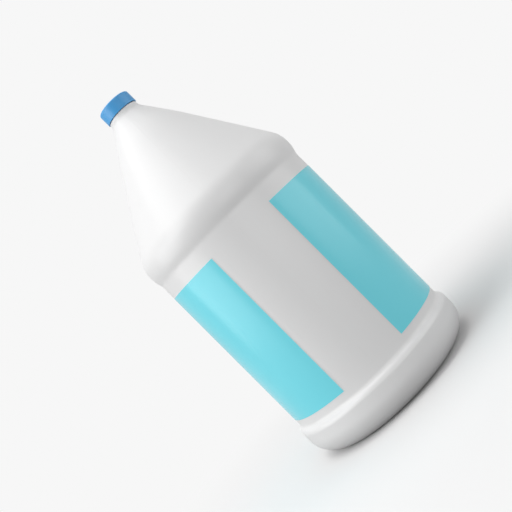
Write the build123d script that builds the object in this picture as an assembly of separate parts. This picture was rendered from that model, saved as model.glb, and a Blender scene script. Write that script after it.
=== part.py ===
from build123d import *
import os
from math import copysign, radians, sqrt, tan

# A round gallon jug, blown in one piece, with a screw cap on its neck and a film label
# round each side. Millimetres, standing on z = 0 with its axis on Z. The bare strip
# between the two labels faces -Y.

# Blown body, from the floor up
wall = 0.9
panel_radius = 74.1
foot_step = 3.7
foot_rounding = 19.2
foot_height = 26.5
foot_step_height = 7.8
foot_lip_height = 4.5
panel_height = 149.6
shoulder_step = 2.0
shoulder_step_height = 12.1
shoulder_crease_height = 3.7
shoulder_band_height = 8.4
shoulder_rounding = 24.0
cone_height = 96.8
crown_below_neck = 26.4
crown_bulge = 1.4
crown_rounding = 340.0
neck_flare = 6.6

# Push-up under the base, and the weld where the mould pinched the tube shut
standing_ring = 6.5
step_rise = 3.0
step_run = 3.0
dome_rise = 3.5
dome_rounding = 4.0
ring_rounding = 2.0
weld_width = 1.6
weld_drop = 0.8
weld_margin = 6.0

# Neck and its thread
collar_step = 1.6
collar_height = 3.5
collar_bevel = 0.4
bore_radius = 10.8
neck_wall = 1.6
land_bevel = 0.3
pitch = 4.233
flank_angle = 30.0
run_out_angle = 18.0
root_bite = 0.3
thread_depth = 1.2
thread_crest = 0.9
thread_turns = 1.0
thread_below_land = 0.7

# Screw cap and the foam disc inside it
cap_height = 10.6
cap_top = 1.2
cap_skirt = 0.85
cap_rounding = 1.4
cap_edge_bevel = 0.2
cap_gap = 0.3
crest_gap = 0.25
root_gap = 0.35
flank_gap = 0.25
cap_thread_crest = 0.8
cap_thread_turns = 1.0
cap_thread_lead_in = 0.2
liner_thickness = 1.0
liner_gap = 0.5

# Film labels
film = 0.1
glue = 0.1
label_margin = 5.3
label_top_margin = 11.6
bare_strip_angle = 44.8

# Places that follow from the sizes above
foot_radius = panel_radius + foot_step
ring_outer = foot_radius - foot_rounding
ring_inner = ring_outer - standing_ring
dome_edge = ring_inner - step_run
panel_bottom = foot_height + foot_step_height
panel_top = panel_bottom + panel_height
shoulder_radius = panel_radius + shoulder_step
band_bottom = panel_top + shoulder_step_height
label_height = panel_height - label_margin - label_top_margin
cone_bottom = band_bottom + shoulder_band_height
cone_top = cone_bottom + cone_height
collar_top = cone_top + collar_height
cap_bottom = collar_top + cap_gap
cap_roof = cap_bottom + cap_height - cap_top
land = cap_roof - liner_thickness
root_radius = bore_radius + neck_wall
collar_radius = root_radius + collar_step
crest_radius = root_radius + thread_depth
cap_bore_radius = crest_radius + crest_gap
cap_radius = cap_bore_radius + cap_skirt
cap_thread_depth = cap_bore_radius - root_radius - root_gap
flank_slope = tan(radians(flank_angle))
run_out = pitch * run_out_angle / 360


def s_curve(start, end, lower_height):
    """Two arcs from start to end, upright at both ends, the lower one of the given height."""
    share = lower_height / (end[1] - start[1])
    middle = (start[0] + (end[0] - start[0]) * share, start[1] + lower_height)
    lower = TangentArc(start, middle, tangent=(0, 1))
    upper = TangentArc(middle, end, tangent=lower % 1)
    return [lower, upper]


def body_section(neck_radius, top):
    """Whole outline of the body, cut through its axis, with a neck of the given radius."""
    dome = TangentArc((0, step_rise + dome_rise), (dome_edge, step_rise), tangent=(1, 0))
    foot = FilletPolyline(
        (dome_edge, step_rise),
        (ring_inner, 0),
        (foot_radius, 0),
        (foot_radius, foot_height),
        radius=[ring_rounding, foot_rounding],
    )
    foot_top = s_curve(
        (foot_radius, foot_height), (panel_radius, panel_bottom), foot_lip_height
    )
    panel = Line((panel_radius, panel_bottom), (panel_radius, panel_top))
    shoulder_swell = s_curve(
        (panel_radius, panel_top), (shoulder_radius, band_bottom), shoulder_crease_height
    )
    taper = (shoulder_radius - collar_radius) / cone_height
    crown_radius = collar_radius + taper * crown_below_neck + crown_bulge
    upper_taper = (crown_radius - collar_radius) / crown_below_neck
    neck_foot = cone_top + (collar_radius - neck_radius) / upper_taper
    shoulder = FilletPolyline(
        (shoulder_radius, band_bottom),
        (shoulder_radius, cone_bottom),
        (crown_radius, cone_top - crown_below_neck),
        (neck_radius, neck_foot),
        (neck_radius, top - collar_bevel),
        radius=[shoulder_rounding, crown_rounding, neck_flare],
    )
    rim = Polyline(
        (neck_radius, top - collar_bevel), (neck_radius - collar_bevel, top), (0, top)
    )
    half = Curve() + [dome, foot, *foot_top, panel, *shoulder_swell, shoulder, rim]
    section = make_face(half + mirror(half, about=Plane.YZ))
    dome_corners = section.vertices().filter_by(
        lambda v: abs(abs(v.X) - dome_edge) < wall / 2 and v.Y < foot_height
    )
    return fillet(dome_corners, dome_rounding)


def half_foot(rise, crest):
    """Half the width of a thread where its foot ends inside the wall."""
    return crest / 2 + (abs(rise) + root_bite) * flank_slope


def ridge_across(wall_radius, rise, full_rise, crest):
    """Trapezoid across a thread, with its foot sunk into the wall that carries it."""
    side = copysign(1, full_rise)
    foot = half_foot(full_rise, crest)
    inner = wall_radius - side * root_bite
    outer = wall_radius + rise
    outline = Polyline(
        (inner, -foot), (outer, -crest / 2), (outer, crest / 2), (inner, foot), close=True
    )
    return Plane.XZ * make_face(outline)


def thread(wall_radius, rise, crest, turns):
    """Right-hand ridge from the +X axis upward, sinking back into its wall at both ends."""
    full = ridge_across(wall_radius, rise, rise, crest)
    sunk = ridge_across(wall_radius, -copysign(root_bite / 2, rise), rise, crest)
    end = Pos(0, 0, pitch * turns) * Rot(0, 0, 360 * turns)
    after_end = end * Pos(0, 0, run_out) * Rot(0, 0, run_out_angle)
    before_start = Pos(0, 0, -run_out) * Rot(0, 0, -run_out_angle)
    ridge = sweep(full, path=Helix(pitch, pitch * turns, wall_radius), is_frenet=True)
    ridge += loft([before_start * sunk, full], ruled=True)
    ridge += loft([end * full, after_end * sunk], ruled=True)
    return ridge


def weld():
    """Ridge across the dome, which follows it from one side to the other."""
    half = dome_edge - weld_margin
    dome_radius = (dome_edge**2 + dome_rise**2) / (2 * dome_rise)
    sag = dome_radius - sqrt(dome_radius**2 - half**2)
    middle = step_rise + dome_rise
    under = ThreePointArc(
        (-half, middle - sag - weld_drop), (0, middle - weld_drop), (half, middle - sag - weld_drop)
    )
    over = ThreePointArc(
        (-half, middle - sag + wall / 2), (0, middle + wall / 2), (half, middle - sag + wall / 2)
    )
    ends = [Line(under @ 0, over @ 0), Line(under @ 1, over @ 1)]
    section = make_face(Curve() + [under, over, *ends])
    return extrude(Plane.YZ * section, amount=weld_width / 2, both=True)


def neck_thread_start():
    """Height of the middle of the neck's thread where it starts."""
    top_margin = thread_below_land + half_foot(thread_depth, thread_crest) + run_out
    return land - top_margin - pitch * thread_turns


def bottle():
    """Thin blown shell, open through the neck, with the thread the cap runs on."""
    half_plane = Rectangle(2 * foot_radius, 2 * land, align=(Align.MIN, Align.MIN))
    outside = body_section(collar_radius, collar_top)
    neck = Rectangle(2 * root_radius, land - cone_top, align=(Align.CENTER, Align.MIN))
    outside += Pos(0, cone_top) * neck
    cavity = offset(body_section(bore_radius + wall, land + 2 * wall), amount=-wall)
    section = (outside - cavity) & half_plane
    section = chamfer(section.vertices().group_by(Axis.Y)[-1], land_bevel)
    shell = revolve(Plane.XZ * section, Axis.Z)
    ridge = thread(root_radius, thread_depth, thread_crest, thread_turns)
    return shell + weld() + Pos(0, 0, neck_thread_start()) * ridge


def cap():
    """Plain round cap whose thread hangs just under the one on the neck."""
    outside = Cylinder(cap_radius, cap_height, align=(Align.CENTER, Align.CENTER, Align.MIN))
    outside = fillet(outside.edges().group_by(Axis.Z)[-1], cap_rounding)
    hollow = Cylinder(
        cap_bore_radius, cap_height - cap_top, align=(Align.CENTER, Align.CENTER, Align.MIN)
    )
    shell = outside - hollow
    shell = chamfer(shell.edges().group_by(Axis.Z)[0], cap_edge_bevel)
    ridge = thread(cap_bore_radius, -cap_thread_depth, cap_thread_crest, cap_thread_turns)
    below = (thread_crest + cap_thread_crest) / 2 + flank_gap
    below += (thread_depth - root_gap) * flank_slope
    lead_in = cap_thread_lead_in + half_foot(cap_thread_depth, cap_thread_crest) + run_out
    start = cap_bottom + lead_in
    turn = 360 * (start - neck_thread_start() + below) / pitch
    return Pos(0, 0, cap_bottom) * shell + Pos(0, 0, start) * Rot(0, 0, turn) * ridge


def cap_liner():
    """Foam disc between the roof of the cap and the land of the neck."""
    disc = Cylinder(
        cap_bore_radius - liner_gap, liner_thickness, align=(Align.CENTER, Align.CENTER, Align.MIN)
    )
    return Pos(0, 0, land) * disc


def label(middle_angle):
    """Film on the straight part of the body, centred on the given side."""
    sweep_angle = 180 - bare_strip_angle
    strip = Rectangle(film, label_height, align=(Align.MIN, Align.MIN))
    strip = Plane.XZ * Pos(panel_radius + glue, panel_bottom + label_margin) * strip
    return Rot(0, 0, middle_angle - sweep_angle / 2) * revolve(strip, Axis.Z, sweep_angle)


nodes = {
    "bottle": bottle(),
    "cap": cap(),
    "cap_liner": cap_liner(),
    "label_left": label(180),
    "label_right": label(0),
}
os.makedirs("parts", exist_ok=True)
for name, shape in nodes.items():
    export_step(shape, f"parts/{name}.step")
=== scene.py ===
from math import atan2, ceil, copysign, cos, degrees, floor, pi, radians, sin, sqrt, tan

import bmesh
import bpy
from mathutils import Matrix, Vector


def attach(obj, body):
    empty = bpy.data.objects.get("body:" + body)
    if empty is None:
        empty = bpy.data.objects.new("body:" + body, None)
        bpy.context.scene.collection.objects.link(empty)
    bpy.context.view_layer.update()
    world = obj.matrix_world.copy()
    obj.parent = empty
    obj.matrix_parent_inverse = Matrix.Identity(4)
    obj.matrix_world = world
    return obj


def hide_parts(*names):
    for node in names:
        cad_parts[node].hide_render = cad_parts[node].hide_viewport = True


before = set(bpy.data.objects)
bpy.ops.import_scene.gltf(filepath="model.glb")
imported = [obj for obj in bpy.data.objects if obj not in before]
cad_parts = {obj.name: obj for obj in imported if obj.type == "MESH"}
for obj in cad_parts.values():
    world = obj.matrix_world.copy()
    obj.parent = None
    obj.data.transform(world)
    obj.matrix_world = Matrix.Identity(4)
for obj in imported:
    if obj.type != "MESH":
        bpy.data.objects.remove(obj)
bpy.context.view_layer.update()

# Camera, level with the middle of the jug and square to the bare strip between its two
# labels, then rolled by an eighth of a turn, so that the cap points to the upper left.
camera = bpy.data.objects.new("camera", bpy.data.cameras.new("camera"))
camera.data.lens = 57.17
camera.data.sensor_width = 36.0
camera.data.clip_start = 0.01
camera.data.clip_end = 50.0
camera.location = (-0.0051, -0.642, 0.1511)
camera.rotation_euler = (radians(90.0), radians(45.0), 0.0)
bpy.context.collection.objects.link(camera)
bpy.context.scene.camera = camera
bpy.context.scene.view_settings.view_transform = "Standard"


# The jug: one blown shell of white polyethylene, 0.9 mm thick, that stands on a ring round
# its push-up. Its neck has a collar and a one-turn thread, and the weld where the mould
# pinched the tube shut runs across the push-up. Sizes here and below are millimetres.
mm = 0.001
wall = 0.9
panel_radius = 74.1
panel_bottom = 34.3
panel_top = 183.9
foot_radius = 77.8
foot_rounding = 19.2
foot_height = 26.5
foot_lip_height = 4.5
shoulder_crease_height = 3.7
shoulder_radius = 76.1
shoulder_rounding = 24.0
band_bottom = 196.0
cone_bottom = 204.4
cone_top = 301.2
crown_below_neck = 26.4
crown_bulge = 1.4
crown_rounding = 340.0
neck_flare = 6.6
ring_inner = 52.1
ring_rounding = 2.0
step_rise = 3.0
dome_edge = 49.1
dome_rise = 3.5
dome_rounding = 4.0
dome_radius = (dome_edge**2 + dome_rise**2) / (2 * dome_rise)
dome_rows = range(0, 48, 4)
weld_half_length = 43.1
weld_half_width = 0.8
weld_bevel = 0.25
weld_drop = 0.8
weld_end_share = 0.2
weld_end_fade = 8.0
weld_root = 0.3
weld_steps = 40
collar_radius = 14.0
collar_top = 304.7
collar_bevel = 0.4
bore_radius = 10.8
root_radius = 12.4
land = 313.4
land_bevel = 0.3
pitch = 4.233
flank = tan(radians(30.0))
run_out = radians(18.0)
root_bite = 0.3
thread_rise = 1.2
thread_crest = 0.9
thread_start = 306.94

# How fine the mesh is: columns round the jug, degrees to a step of an arc, where a straight
# run is long enough to be divided, and below which size a radius, angle or gap is none.
segments = 192
arc_step = 5.0
fewest_arc_steps = 4
long_run = 4.0
run_step = 15.0
run_margin = 1.0
straight = 0.9999
tiny = 1e-6
same_point = 0.002
no_length = 0.001
sharp_edge = radians(32.0)


class Skin:
    """Points in millimetres and faces of one piece, most of them turned about Z."""

    def __init__(self):
        self.points = []
        self.faces = []

    def turn(self, rows, first=0.0, last=2 * pi, count=segments):
        """Turns rows of (radius, height) from first to last angle, outside on their right."""
        whole = last - first > 2 * pi - tiny
        columns = count if whole else count + 1
        grid = []
        for radius, height in rows:
            if radius < tiny:
                grid.append([len(self.points)] * (columns + 1))
                self.points.append((0.0, 0.0, height))
                continue
            start = len(self.points)
            for j in range(columns):
                angle = first + (last - first) * j / count
                self.points.append((radius * cos(angle), radius * sin(angle), height))
            grid.append([start + j % columns for j in range(columns + 1)])
        for low, high in zip(grid, grid[1:]):
            for j in range(count):
                corners = [low[j], low[j + 1], high[j + 1], high[j]]
                self.faces.append(tuple(dict.fromkeys(corners)))
        return grid

    def climb(self, radius, rise, crest, low, high, start, turned, inside=False):
        """Wall between two heights with a one-turn thread that its rows follow round."""
        foot = crest / 2 + abs(rise) * flank
        across = [crest / 2 * share for share in (0.0, 0.5, 1.0)]
        across += [crest / 2 + (foot - crest / 2) * share for share in (0.25, 0.5, 0.75, 1.0)]
        across += [foot + (pitch / 2 - foot) * share for share in (0.2, 0.6)]
        offsets = sorted({-a for a in across[1:]} | set(across))
        spare_turns = 2
        first = floor((low - start) / pitch) - spare_turns
        passes = ceil((high - low) / pitch) + 2 * spare_turns + 1
        rows = [(m, a) for m in range(first, first + passes) for a in offsets]
        begin = len(self.points)
        for j in range(segments):
            angle = 2 * pi * j / segments
            for m, a in rows:
                travel = angle - turned + 2 * pi * m
                height = start + pitch * travel / (2 * pi) + a
                beyond = max(-travel, travel - 2 * pi, 0.0) / run_out
                crest_rise = abs(rise) - min(beyond, 1.0) * (abs(rise) + root_bite / 2)
                slope = (crest_rise + root_bite) / ((abs(rise) + root_bite) * flank)
                lift = crest_rise - max(abs(a) - crest / 2, 0.0) * slope
                if beyond > 1.0 or not low < height < high:
                    lift = 0.0
                r = radius + copysign(max(lift, 0.0), rise)
                level = min(max(height, low), high)
                self.points.append((r * cos(angle), r * sin(angle), level))
        for j in range(segments):
            # The last column meets the first one a whole turn of rows further up.
            seam = len(offsets) if j == segments - 1 else 0
            for i in range(len(rows) - 1 - seam):
                a = begin + j * len(rows) + i
                b = begin + (j + 1) % segments * len(rows) + i + seam
                corners = (a, b, b + 1, a + 1)
                if len({self.points[k][2] for k in corners}) > 1:
                    self.faces.append(corners[::-1] if inside else corners)

    def mesh(self, name):
        """Its points and faces as a mesh of that name, in metres."""
        mesh = bpy.data.meshes.new(name)
        mesh.from_pydata([[c * mm for c in p] for p in self.points], [], self.faces)
        return mesh

    def piece(self, name, finish, body, slot, *nodes):
        """Makes the finished object, in its place and on its body."""
        mesh = self.mesh(name)
        cleaner = bmesh.new()
        cleaner.from_mesh(mesh)
        bmesh.ops.remove_doubles(cleaner, verts=cleaner.verts, dist=same_point * mm)
        bmesh.ops.dissolve_degenerate(cleaner, edges=cleaner.edges, dist=no_length * mm)
        cleaner.to_mesh(mesh)
        cleaner.free()
        mesh.polygons.foreach_set("use_smooth", [True] * len(mesh.polygons))
        mesh.set_sharp_from_angle(angle=sharp_edge)
        mesh.materials.append(finish)
        made = bpy.data.objects.new(name, mesh)
        bpy.context.collection.objects.link(made)
        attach(made, body)
        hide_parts(*nodes)


def rounded(corners):
    """Points and their outward normals along corners of (radius, height, rounding).

    The first and last corners only give the directions in which the line starts and ends.
    """
    points = []
    for before, corner, after in zip(corners, corners[1:], corners[2:]):
        rounding = corner[2]
        here = Vector(corner[:2])
        arriving = (here - Vector(before[:2])).normalized()
        leaving = (Vector(after[:2]) - here).normalized()
        if rounding == 0.0:
            normal = Vector((arriving.y + leaving.y, -arriving.x - leaving.x)).normalized()
            points.append((here, normal))
            continue
        bend = atan2(arriving.cross(leaving), arriving.dot(leaving))
        side = copysign(1.0, bend)
        tangent = rounding * tan(abs(bend) / 2)
        sideways = Vector((-arriving.y, arriving.x))
        centre = here - arriving * tangent + sideways * side * rounding
        count = max(fewest_arc_steps, ceil(degrees(abs(bend)) / arc_step))
        heading = atan2(arriving.y, arriving.x)
        for k in range(count + 1):
            way = heading + bend * k / count
            normal = Vector((sin(way), -cos(way)))
            points.append((centre + normal * rounding * side, normal))
    return points


def with_runs(points):
    """The same points with more on each long straight run, close to its ends and between."""
    rows = [points[0]]
    for (start, n0), (end, n1) in zip(points, points[1:]):
        length = (end - start).length
        if length > long_run and n0.dot(n1) > straight:
            count = ceil(length / run_step)
            between = [k / count for k in range(1, count)]
            for share in [run_margin / length, *between, 1.0 - run_margin / length]:
                rows.append((start.lerp(end, share), n1))
        rows.append((end, n1))
    return rows


def s_curve(radius_low, low, radius_high, high, lower_height):
    """The two rounded corners of a step in the wall that is upright at both ends."""
    angle = 2 * atan2(abs(radius_high - radius_low), high - low)
    lower = lower_height / sin(angle)
    upper = (high - low - lower_height) / sin(angle)
    slant = tan(angle / 2)
    return [(radius_low, low + lower * slant, lower), (radius_high, high - upper * slant, upper)]


def body_outline(neck_radius, top):
    """Outside of the body from the middle of the push-up to the neck, rounding by rounding."""
    dome_top = step_rise + dome_rise
    corners = [(-dome_rows.step, dome_top, 0.0)]
    for radius in dome_rows:
        drop = dome_radius - sqrt(dome_radius**2 - radius**2)
        corners.append((radius, dome_top - drop, 0.0))
    taper = (shoulder_radius - collar_radius) / (cone_top - cone_bottom)
    crown_radius = collar_radius + taper * crown_below_neck + crown_bulge
    upper_taper = (crown_radius - collar_radius) / crown_below_neck
    corners += [
        (dome_edge, step_rise, dome_rounding),
        (ring_inner, 0.0, ring_rounding),
        (foot_radius, 0.0, foot_rounding),
        *s_curve(foot_radius, foot_height, panel_radius, panel_bottom, foot_lip_height),
        *s_curve(panel_radius, panel_top, shoulder_radius, band_bottom, shoulder_crease_height),
        (shoulder_radius, cone_bottom, shoulder_rounding),
        (crown_radius, cone_top - crown_below_neck, crown_rounding),
        (neck_radius, cone_top + (collar_radius - neck_radius) / upper_taper, neck_flare),
        (neck_radius, top, 0.0),
        (neck_radius, top + 1.0, 0.0),
    ]
    return with_runs(rounded(corners))


jug = Skin()
outer = [tuple(p) for p, n in body_outline(collar_radius, collar_top - collar_bevel)]
inner = [tuple(p - n * wall) for p, n in body_outline(bore_radius + wall, land - land_bevel)]
outer[0] = (0.0, outer[0][1])
inner[0] = (0.0, inner[0][1])
collar = [(collar_radius - collar_bevel, collar_top), (root_radius, collar_top)]
lip = [
    (root_radius, land - land_bevel),
    (root_radius - land_bevel, land),
    (bore_radius + land_bevel, land),
    (bore_radius, land - land_bevel),
]
jug.turn(outer + collar)
jug.climb(
    root_radius, thread_rise, thread_crest, collar_top, land - land_bevel, thread_start, 0.0
)
jug.turn(lip + inner[::-1])

weld = []
for k in range(weld_steps + 1):
    along = 2.0 * k / weld_steps - 1.0
    y = weld_half_length * along
    under = step_rise + dome_rise - dome_radius + sqrt(dome_radius**2 - y**2)
    fade = min(1.0, (1.0 - abs(along)) * weld_end_fade)
    drop = weld_drop * (weld_end_share + (1.0 - weld_end_share) * fade)
    section = [
        (weld_half_width, weld_root),
        (weld_half_width, weld_bevel - drop),
        (weld_half_width - weld_bevel, -drop),
    ]
    section += [(-x, z) for x, z in section[::-1]]
    weld.append([len(jug.points) + i for i in range(len(section))])
    jug.points += [(x, y, under + z) for x, z in section]
for low, high in zip(weld, weld[1:]):
    for i in range(len(low) - 1):
        jug.faces.append((low[i], low[i + 1], high[i + 1], high[i]))
jug.faces += [tuple(weld[0][::-1]), tuple(weld[-1])]


class Wire:
    """An output socket in a material. Arithmetic on it adds the Math nodes that it needs."""

    def __init__(self, socket):
        self.socket = socket

    def add(self, kind, settings=None, sockets=None, out=0):
        """Adds a node: its settings first, then its sockets. Gives one output, or several."""
        tree = self.socket.id_data
        node = tree.nodes.new(kind)
        for name, value in (settings or {}).items():
            setattr(node, name, value)
        for name, value in (sockets or {}).items():
            if isinstance(value, Wire):
                tree.links.new(value.socket, node.inputs[name])
            else:
                node.inputs[name].default_value = value
        if isinstance(out, tuple):
            return [Wire(node.outputs[one]) for one in out]
        return Wire(node.outputs[out])

    def math(self, operation, *values):
        return self.add("ShaderNodeMath", {"operation": operation}, dict(enumerate(values)))

    def __add__(self, other):
        return self.math("ADD", self, other)

    def __sub__(self, other):
        return self.math("SUBTRACT", self, other)

    def __rsub__(self, other):
        return self.math("SUBTRACT", other, self)

    def __mul__(self, other):
        return self.math("MULTIPLY", self, other)

    def __truediv__(self, other):
        return self.math("DIVIDE", self, other)

    def __rtruediv__(self, other):
        return self.math("DIVIDE", other, self)

    def __abs__(self):
        return self.math("ABSOLUTE", self)

    __radd__ = __add__
    __rmul__ = __mul__

    def distance(self, other):
        """Length of the line with these two as its sides."""
        return self.math("SQRT", self * self + other * other)

    def bearing(self, ahead):
        """Angle from straight ahead, with this as the way across."""
        return self.math("ARCTAN2", self, ahead)

    def at_most(self, limit):
        return self.math("MINIMUM", self, limit)

    def fade(self, start, end):
        """Smooth step from 0 at start to 1 at end."""
        settings = {"interpolation_type": "SMOOTHSTEP"}
        sockets = {"Value": self, "From Min": start, "From Max": end, "To Min": 0.0, "To Max": 1.0}
        if start > end:
            sockets.update({"From Min": end, "From Max": start, "To Min": 1.0, "To Max": 0.0})
        return self.add("ShaderNodeMapRange", settings, sockets)

    def tint(self, without, with_it):
        """Colour that goes from one to the other as this wire goes from 0 to 1."""
        settings = {"data_type": "RGBA"}
        return self.add("ShaderNodeMix", settings, {0: self, 6: without, 7: with_it}, out=2)

    def noise(self, size, stretch=(1.0, 1.0, 1.0), detail=2.0, roughness=0.5):
        """Noise from 0 to 1 at this place, with lumps about as large as size in millimetres."""
        scale = tuple(s / (size * mm) for s in stretch)
        settings = {"operation": "MULTIPLY"}
        place = self.add("ShaderNodeVectorMath", settings, {0: self, 1: scale})
        sockets = {"Vector": place, "Scale": 1.0, "Detail": detail, "Roughness": roughness}
        return self.add("ShaderNodeTexNoise", {}, sockets)


def finish(name, **flat):
    """A material with its flat values set, its shader, and wires for the place on the piece."""
    material = bpy.data.materials.new(name)
    material.use_nodes = True
    shader = material.node_tree.nodes["Principled BSDF"]
    for socket, value in flat.items():
        shader.inputs[socket].default_value = value
    place = Wire(shader.outputs[0]).add("ShaderNodeTexCoord", out="Object")
    axes = place.add("ShaderNodeSeparateXYZ", {}, {0: place}, out=(0, 1, 2))
    return material, shader, place, axes


def surface(shader, colour, roughness, height):
    """Joins colour, roughness and a height in millimetres to the shader."""
    bump = colour.add("ShaderNodeBump", {}, {"Strength": 1.0, "Distance": mm, "Height": height})
    tree = colour.socket.id_data
    tree.links.new(colour.socket, shader.inputs["Base Color"])
    tree.links.new(roughness.socket, shader.inputs["Roughness"])
    tree.links.new(bump.socket, shader.inputs["Normal"])


milk_white = (0.81, 0.81, 0.81, 1.0)
cool_white = (0.785, 0.785, 0.787, 1.0)
scuffed_white = (0.70, 0.70, 0.69, 1.0)
foot_rub = 24.5
foot_rub_reach = 9.0
shoulder_rub = 198.5
shoulder_rub_reach = 8.0
parting_half_width = 0.35
parting_top_half_width = 0.1
jug_peel_depth = 0.006
streak_depth = 0.004
sag_depth = 0.12
parting_height = 0.05
scratch_depth = 0.015

polyethylene, shader, place, (x, y, z) = finish("white_polyethylene", IOR=1.5)
cloud = place.noise(55.0, detail=3.0)
streaks = place.noise(3.0, stretch=(1.0, 1.0, 0.02), detail=3.0)
peel = place.noise(1.6, detail=1.0)
sag = place.noise(38.0, stretch=(1.0, 1.0, 0.6), detail=1.0)
scratches = place.noise(2.2, stretch=(1.0, 1.0, 0.12), detail=4.0, roughness=0.7)
scratches = scratches.fade(0.62, 0.75)
standing = z.fade(3.0 * mm, 0.3 * mm)
rub = (abs(z - foot_rub * mm) / (foot_rub_reach * mm)).fade(1.0, 0.0)
rub = rub + (abs(z - shoulder_rub * mm) / (shoulder_rub_reach * mm)).fade(1.0, 0.0)
wear = (standing * 0.6 + rub * 0.35) * scratches
parting = abs(x).fade(parting_half_width * mm, parting_top_half_width * mm)
parting = parting * z.fade(4.0 * mm, 9.0 * mm)
colour = (cloud * 0.7 + streaks * 0.3).tint(milk_white, cool_white)
colour = (wear * 0.5).tint(colour, scuffed_white)
roughness = 0.30 + cloud * 0.03 + streaks * 0.02 + wear * 0.2
height = peel * jug_peel_depth + streaks * streak_depth + sag * sag_depth
height = height + parting * parting_height - wear * scratch_depth
surface(shader, colour, roughness, height)
jug.piece("jug_shell", polyethylene, "jug", "bottle_plastic", "bottle")


# The two labels: plain cyan film, printed on white and glued to the straight part of the
# body, with square corners. A hair of white shows where the film is cut.
film = 0.1
label_inner = 74.2
label_bottom = 39.6
label_top = 172.3
label_half_angle = radians(67.6)
label_columns = 140
label_levels = 16
side_cut = 0.006
side_cut_full = 0.0035
end_cut = 0.25
end_cut_full = 0.1
film_grain_depth = 0.004
ripple_depth = 0.05
cyan = (0.172, 0.735, 0.85, 1.0)
pale_cyan = (0.187, 0.755, 0.865, 1.0)
film_white = (0.80, 0.80, 0.79, 1.0)

for side, middle in (("left", pi), ("right", 0.0)):
    strip = Skin()
    tall = label_top - label_bottom
    levels = [label_bottom + tall * k / label_levels for k in range(label_levels + 1)]
    rows = [(label_inner + film, level) for level in levels]
    rows += [(label_inner, level) for level in levels[::-1]]
    rows.append(rows[0])
    first, last = middle - label_half_angle, middle + label_half_angle
    ends = strip.turn(rows, first, last, label_columns)
    strip.faces.append(tuple(row[0] for row in ends[:-1]))
    strip.faces.append(tuple(row[label_columns] for row in ends[:-1])[::-1])

    printed, shader, place, (x, y, z) = finish("cyan_film_" + side, IOR=1.48)
    round_about = abs(y.bearing(x if middle == 0.0 else 0.0 - x))
    cut = round_about.fade(label_half_angle - side_cut, label_half_angle - side_cut_full)
    upright = abs(z - (label_bottom + tall / 2) * mm)
    cut = cut + upright.fade((tall / 2 - end_cut) * mm, (tall / 2 - end_cut_full) * mm)
    ink = place.noise(22.0, detail=4.0)
    grain = place.noise(0.5, detail=2.0)
    ripple = place.noise(26.0, stretch=(1.0, 1.0, 0.35), detail=1.0)
    colour = (ink * 0.8 + grain * 0.2).tint(cyan, pale_cyan)
    colour = cut.at_most(1.0).tint(colour, film_white)
    roughness = 0.18 + ink * 0.05 + grain * 0.03
    height = grain * film_grain_depth + ripple * ripple_depth
    surface(shader, colour, roughness, height)
    strip.piece("film_" + side, printed, "jug", "label_film", "label_" + side)


# The liner: a disc of white foam pressed into the roof of the cap, where it seals on the
# land of the neck and keeps a faint ring from it.
liner_radius = 13.35
liner_under_bore = 10.5
liner_bottom = 313.4
liner_top = 314.4
liner_edge = 0.15
seal_radius = 11.6
seal_reach = 1.1
seal_flat = 0.7
seal_depth = 0.1
cell_size = 0.45
cell_depth = 0.08
foam_white = (0.80, 0.80, 0.78, 1.0)
foam_painted_groove_shade = (0.70, 0.70, 0.68, 1.0)

liner = Skin()
liner.turn(
    [
        (0.0, liner_bottom),
        (liner_under_bore, liner_bottom),
        (liner_radius - liner_edge, liner_bottom),
        (liner_radius, liner_bottom + liner_edge),
        (liner_radius, liner_top - liner_edge),
        (liner_radius - liner_edge, liner_top),
        (0.0, liner_top),
    ]
)
foam, shader, place, (x, y, _) = finish("white_foam", IOR=1.45)
settings = {"feature": "DISTANCE_TO_EDGE"}
sockets = {"Vector": place, "Scale": 1.0 / (cell_size * mm)}
cells = place.add("ShaderNodeTexVoronoi", settings, sockets)
pressed = abs(x.distance(y) - seal_radius * mm).fade(seal_reach * mm, seal_flat * mm)
# Painted shade: the grooves between the foam cells, which the bump makes low, are coloured darker.
colour = (cells * 2.0).tint(foam_painted_groove_shade, foam_white)
roughness = 0.85 - pressed * 0.2 + cells * 0.05
height = cells * cell_depth - pressed * seal_depth
surface(shader, colour, roughness, height)
liner.piece("foam_liner", foam, "liner", "liner_foam", "cap_liner")


# The cap: smooth-sided and moulded in blue polypropylene, with a softly rounded rim, the
# mark of its gate in a shallow dimple on top, and a thread that hangs under the neck's.
cap_bottom = 305.0
cap_roof = 314.4
cap_up = 315.6
cap_radius = 14.7
cap_bore = 13.85
cap_edge = 0.2
cap_skirt_row = 1.2
cap_rounding = 1.4
cap_thread_rise = -1.1
cap_thread_crest = 0.8
cap_thread_start = 306.62
cap_thread_turned = radians(108.2)
dimple_radius = 2.4
dimple_floor_radius = 2.1
dimple_edge_depth = 0.12
dimple_depth = 0.15
gate_radius = 0.6
gate_top_radius = 0.45
gate_below_top = 0.06
cap_peel_depth = 0.006
draw_depth = 0.008
handling_depth = 0.006
cap_blue = (0.057, 0.33, 0.685, 1.0)
cap_pale_blue = (0.065, 0.341, 0.695, 1.0)

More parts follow.
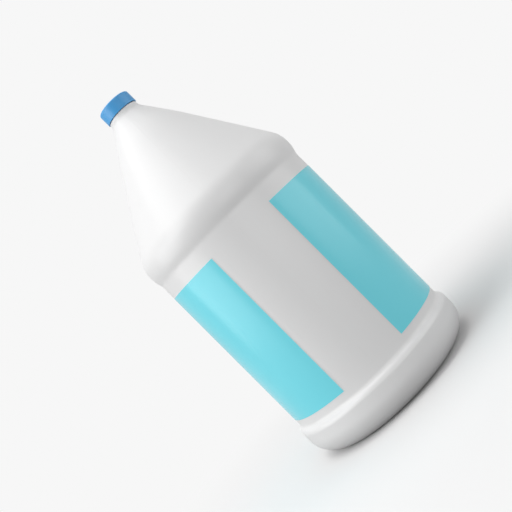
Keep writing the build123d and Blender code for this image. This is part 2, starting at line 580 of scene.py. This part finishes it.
cap = Skin()
cap.turn([(0.0, cap_roof), (cap_bore, cap_roof)])
cap.climb(
    cap_bore,
    cap_thread_rise,
    cap_thread_crest,
    cap_bottom + cap_edge,
    cap_roof,
    cap_thread_start,
    cap_thread_turned,
    inside=True,
)
rim = rounded(
    [
        (cap_radius, cap_bottom, 0.0),
        (cap_radius, cap_up, cap_rounding),
        (dimple_radius, cap_up, 0.0),
        (dimple_floor_radius, cap_up - dimple_edge_depth, 0.0),
        (gate_radius, cap_up - dimple_depth, 0.0),
    ]
)
cap.turn(
    [
        (cap_bore, cap_bottom + cap_edge),
        (cap_bore + cap_edge, cap_bottom),
        (cap_radius - cap_edge, cap_bottom),
        (cap_radius, cap_bottom + cap_edge),
        (cap_radius, cap_bottom + cap_skirt_row),
        *[tuple(p) for p, n in rim],
        (gate_radius, cap_up - dimple_depth),
        (gate_top_radius, cap_up - gate_below_top),
        (0.0, cap_up - gate_below_top),
    ]
)
polypropylene, shader, place, _ = finish("blue_polypropylene", IOR=1.49)
swirl = place.noise(9.0, stretch=(1.0, 1.0, 0.5), detail=3.0)
peel = place.noise(0.8, detail=1.0)
draw = place.noise(0.9, stretch=(1.0, 1.0, 0.04), detail=2.0)
handled = place.noise(0.9, stretch=(1.0, 1.0, 0.3), detail=4.0, roughness=0.7)
handled = handled.fade(0.6, 0.75)
colour = (swirl * 0.7 + draw * 0.3).tint(cap_blue, cap_pale_blue)
roughness = 0.32 + swirl * 0.05 + draw * 0.03 + handled * 0.05
height = peel * cap_peel_depth + draw * draw_depth - handled * handling_depth
surface(shader, colour, roughness, height)
cap.piece("cap_shell", polypropylene, "closure", "cap_plastic", "cap")


# The studio: a wide pale floor that fades into a pale surround, and large soft lamps, the
# strongest of them above the jug and on its left. Glossy skins mirror the surround dimly.
floor_level = -0.05
floor_radius = 3000.0
floor_middle = 600.0
floor_columns = 96
fade_start = 100.0
fade_end = 420.0
fill_strength = 0.325
mirrored_share = 0.6
floor_white = (0.82, 0.82, 0.82, 1.0)
floor_bounce = (0.25, 0.25, 0.25, 1.0)
surround = (0.93, 0.93, 0.93, 1.0)
plain_white = (1.0, 1.0, 1.0, 1.0)


def shown(start):
    """1 where the camera sees the surround itself, and less where a glossy skin mirrors it."""
    rays = ("Is Camera Ray", "Is Glossy Ray")
    straight_on, mirrored = start.add("ShaderNodeLightPath", out=rays)
    return straight_on + mirrored * mirrored_share


disc = Skin()
rings = [(floor_radius, floor_level), (floor_middle, floor_level), (0.0, floor_level)]
disc.turn(rings, count=floor_columns)
mesh = disc.mesh("floor")
ground = bpy.data.objects.new("floor", mesh)
bpy.context.collection.objects.link(ground)
material, shader, _, (x, y, _) = finish("floor_paint", Roughness=0.9)
matt = Wire(shader.outputs[0])
seen = shown(matt)
far = x.distance(y).fade(fade_start * mm, fade_end * mm)
glow = seen.add("ShaderNodeEmission", {}, {"Color": surround, "Strength": 1.0})
mixed = seen.add("ShaderNodeMixShader", {}, {0: seen * far, 1: matt, 2: glow})
tree = material.node_tree
tree.links.new(seen.tint(floor_bounce, floor_white).socket, shader.inputs["Base Color"])
tree.links.new(mixed.socket, tree.nodes["Material Output"].inputs["Surface"])
mesh.materials.append(material)

world = bpy.data.worlds.new("studio")
bpy.context.scene.world = world
world.use_nodes = True
tree = world.node_tree
lit = tree.nodes["Background"]
lit.inputs["Color"].default_value = plain_white
lit.inputs["Strength"].default_value = fill_strength
fill = Wire(lit.outputs[0])
seen = shown(fill)
backing = seen.add("ShaderNodeBackground", {}, {"Color": surround, "Strength": 1.0})
mixed = seen.add("ShaderNodeMixShader", {}, {0: seen, 1: fill, 2: backing})
tree.links.new(mixed.socket, tree.nodes["World Output"].inputs["Surface"])


def lamp(name, place, width, height, power, aim=(0.0, 0.0, 0.15)):
    """Soft lamp, a lit rectangle that faces the middle of the jug unless told otherwise."""
    light = bpy.data.lights.new(name, "AREA")
    light.shape = "RECTANGLE"
    light.size = width
    light.size_y = height
    light.energy = power
    made = bpy.data.objects.new(name, light)
    made.location = place
    turn = (Vector(aim) - made.location).to_track_quat("-Z", "Y")
    made.rotation_euler = turn.to_euler()
    bpy.context.collection.objects.link(made)


lamp("key", (-1.1, -0.7, 1.0), 0.9, 0.9, 6.6)
lamp("left", (-1.46, -0.33, 0.4), 1.3, 0.8, 8.0)
lamp("right", (1.46, -0.32, 0.42), 1.25, 0.88, 5.9)
lamp("front_right", (0.6, -1.35, 0.3), 1.0, 0.6, 3.5)
lamp("top_left", (-0.55, -0.1, 1.65), 1.4, 1.2, 10.6, aim=(-0.55, -0.1, 0.0))
lamp("top", (0.0, 0.3, 1.65), 1.3, 0.8, 6.0, aim=(0.0, 0.3, 0.0))
